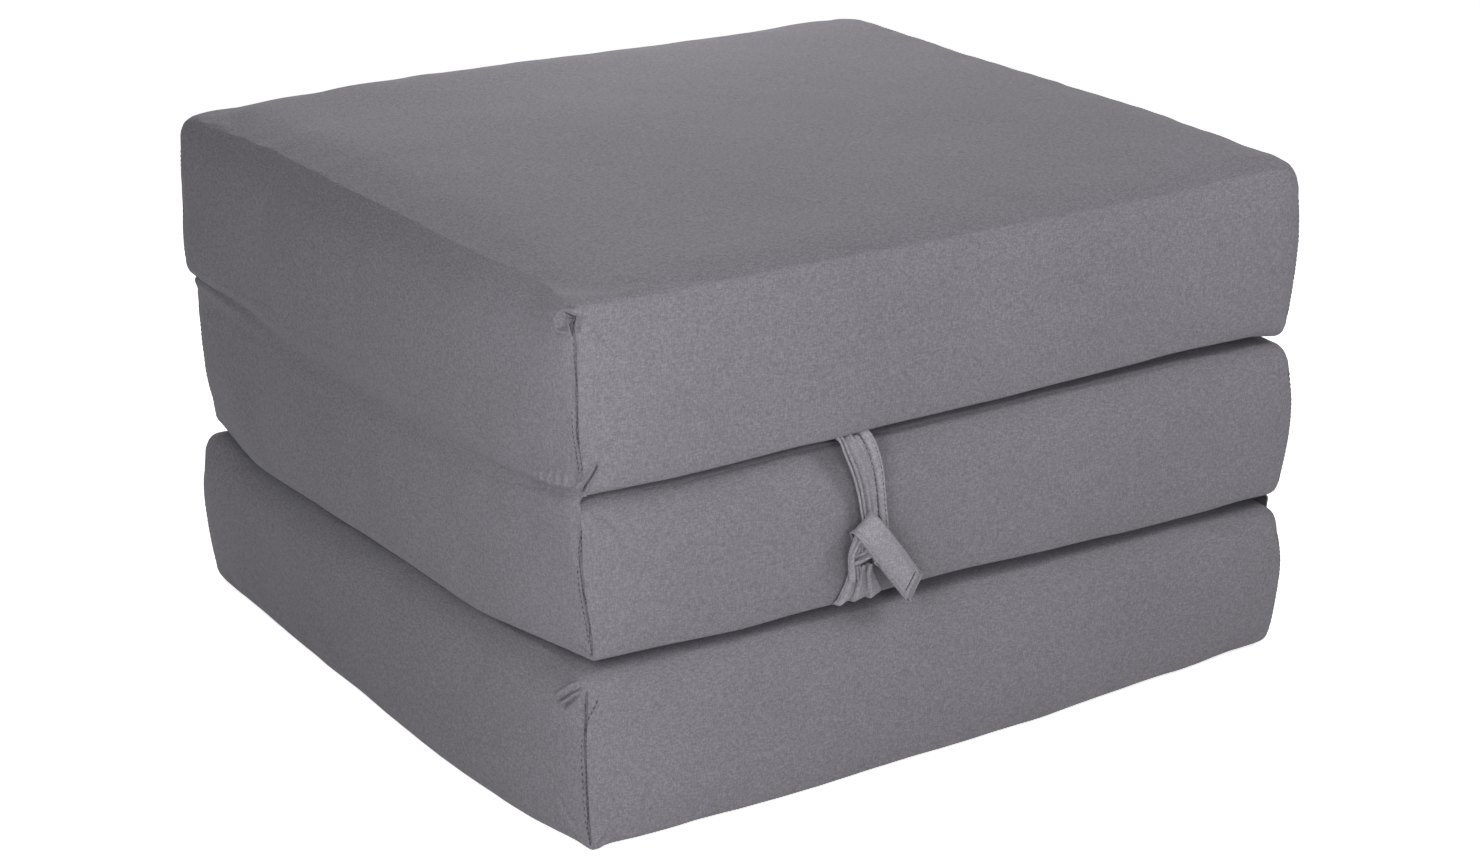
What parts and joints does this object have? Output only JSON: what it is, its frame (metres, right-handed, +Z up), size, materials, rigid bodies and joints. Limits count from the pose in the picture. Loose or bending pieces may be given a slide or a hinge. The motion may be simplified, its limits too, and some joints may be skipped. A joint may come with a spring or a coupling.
{
  "type": "folding mattress",
  "caption": "Fold-out foam guest mattress of hinged cushion sections with zipped cloth covers, folded in a Z into a stack and held shut by knotted cloth ties.",
  "frame": {"origin": "centre of the flat underside of the bottom section, where the folded mattress stands on the floor", "axes": "+Z up; +X along the side with the ties, towards the lower fold; the tie side faces -Y, the zips are on the +Y side and the upper fold is at the -X end"},
  "size_m": [0.6376, 0.6188, 0.3876],
  "materials": {
    "cover_fabric": "mid grey woven polyester, matt",
    "tie_fabric": "mid grey woven polyester, folded and hemmed",
    "foam": "cream open-cell polyurethane foam",
    "zip_nylon": "dark grey nylon",
    "zip_metal": "grey lacquered zinc"
  },
  "bodies": {
    "bottom_section": {"bottom_cover": "cover_fabric", "bottom_base_panel": "cover_fabric", "bottom_foam_core": "foam", "bottom_zip_upper_tape": "zip_nylon", "bottom_zip_lower_tape": "zip_nylon", "lower_hinge_strip": "cover_fabric"},
    "middle_section": {"middle_cover": "cover_fabric", "middle_base_panel": "cover_fabric", "middle_foam_core": "foam", "middle_zip_upper_tape": "zip_nylon", "middle_zip_lower_tape": "zip_nylon", "upper_hinge_strip": "cover_fabric"},
    "top_section": {"top_cover": "cover_fabric", "top_base_panel": "cover_fabric", "top_foam_core": "foam", "top_zip_upper_tape": "zip_nylon", "top_zip_lower_tape": "zip_nylon"},
    "upper_tie": {"upper_tie": "tie_fabric"},
    "lower_tie": {"lower_tie": "tie_fabric"},
    "bottom_slider": {"bottom_zip_slider": "zip_metal"},
    "bottom_pull": {"bottom_zip_pull": "zip_metal"},
    "middle_slider": {"middle_zip_slider": "zip_metal"},
    "middle_pull": {"middle_zip_pull": "zip_metal"},
    "top_slider": {"top_zip_slider": "zip_metal"},
    "top_pull": {"top_zip_pull": "zip_metal"}
  },
  "joints": [
    {"name": "lower_fold", "type": "hinge", "parent": "bottom_section", "child": "middle_section", "pos_m": [0.3192, 0, 0.12585], "axis": [0, 1, 0], "range_deg": [0, 180], "deforming": ["lower_hinge_strip"]},
    {"name": "upper_fold", "type": "hinge", "parent": "middle_section", "child": "top_section", "pos_m": [-0.3192, 0, 0.25185], "axis": [0, -1, 0], "range_deg": [0, 180], "deforming": ["upper_hinge_strip"]},
    {"name": "upper_tie_swing", "type": "hinge", "parent": "top_section", "child": "upper_tie", "pos_m": [-0.09, -0.2964, 0.2515], "axis": [-1, 0, 0], "range_deg": [0, 90], "deforming": ["upper_tie"]},
    {"name": "lower_tie_swing", "type": "hinge", "parent": "bottom_section", "child": "lower_tie", "pos_m": [-0.077, -0.2964, 0.1255], "axis": [1, 0, 0], "range_deg": [0, 90], "deforming": ["lower_tie"]},
    {"name": "bottom_zip_slide", "type": "slide", "parent": "bottom_section", "child": "bottom_slider", "axis": [-1, 0, 0], "range_m": [0, 0.518], "deforming": ["bottom_zip_upper_tape", "bottom_zip_lower_tape"]},
    {"name": "bottom_pull_turn", "type": "hinge", "parent": "bottom_slider", "child": "bottom_pull", "pos_m": [0.2592, 0.29735, 0.05685], "axis": [0, 0, -1], "range_deg": [0, 180]},
    {"name": "middle_zip_slide", "type": "slide", "parent": "middle_section", "child": "middle_slider", "axis": [-1, 0, 0], "range_m": [0, 0.518], "deforming": ["middle_zip_upper_tape", "middle_zip_lower_tape"]},
    {"name": "middle_pull_turn", "type": "hinge", "parent": "middle_slider", "child": "middle_pull", "pos_m": [0.2592, 0.29735, 0.18285], "axis": [0, 0, -1], "range_deg": [0, 180]},
    {"name": "top_zip_slide", "type": "slide", "parent": "top_section", "child": "top_slider", "axis": [-1, 0, 0], "range_m": [0, 0.518], "deforming": ["top_zip_upper_tape", "top_zip_lower_tape"]},
    {"name": "top_pull_turn", "type": "hinge", "parent": "top_slider", "child": "top_pull", "pos_m": [0.2592, 0.29735, 0.30885], "axis": [0, 0, -1], "range_deg": [0, 180]}
  ]
}
